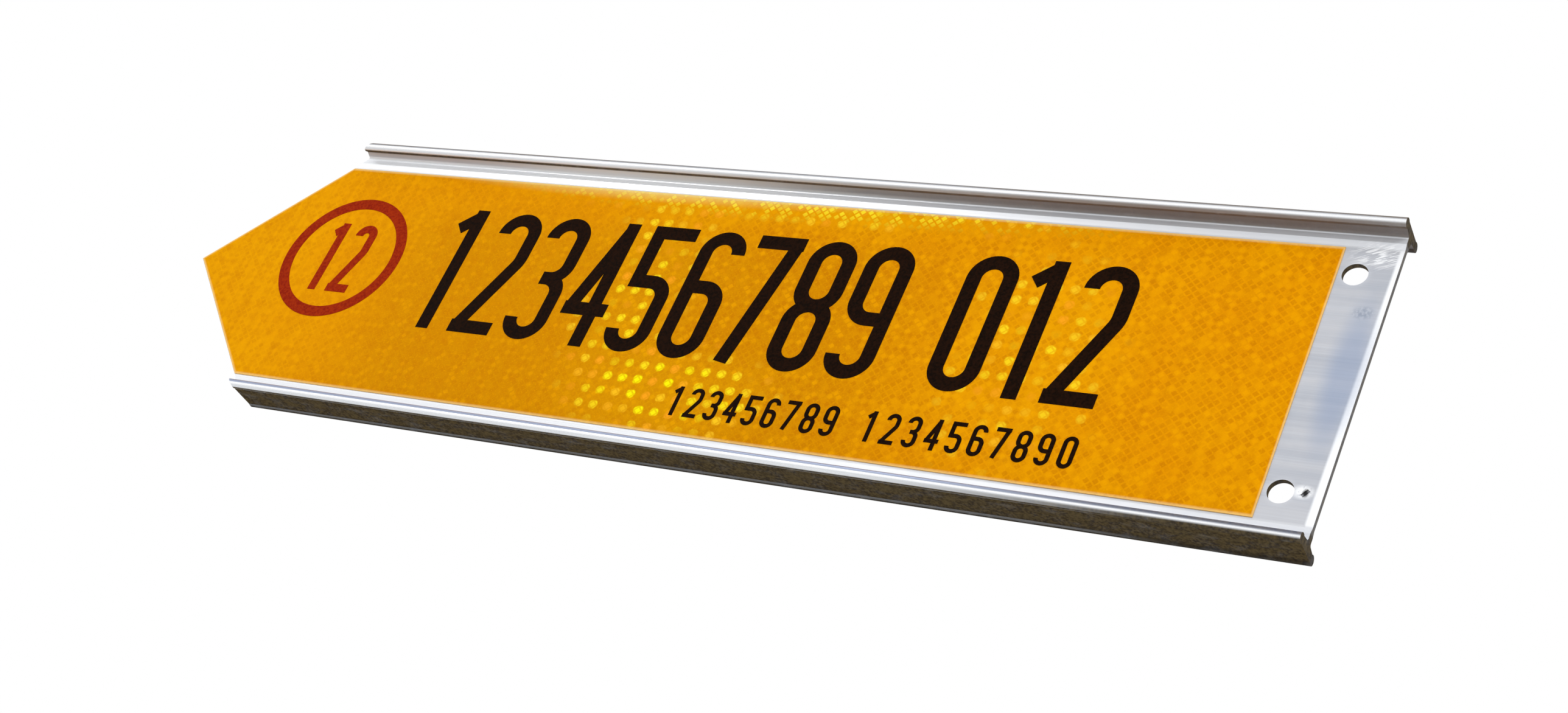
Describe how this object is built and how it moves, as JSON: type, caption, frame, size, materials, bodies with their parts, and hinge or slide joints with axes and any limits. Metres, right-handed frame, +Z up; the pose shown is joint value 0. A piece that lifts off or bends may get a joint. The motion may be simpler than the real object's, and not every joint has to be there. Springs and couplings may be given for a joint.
{
  "type": "reflective street sign blade",
  "caption": "Extruded aluminium street sign blade with a pointed end, reflective sheeting, a red ring and fixing holes at its square end.",
  "frame": {"origin": "midway between the two fixing holes, in the middle of the web's thickness", "axes": "+X along the blade towards the square end with the holes, +Y out of the bare back, so the reflective face looks along -Y, +Z up"},
  "size_m": [0.605, 0.02, 0.15],
  "materials": {
    "bare_aluminium": "mill finish, weathered",
    "amber_sheeting": "retroreflective film with fine cells",
    "red_film": "transparent red film over the sheeting",
    "black_film": "black film numerals"
  },
  "bodies": {
    "root": {"blade": "bare_aluminium", "reflective_sheeting": "amber_sheeting", "red_ring": "red_film"}
  },
  "joints": []
}
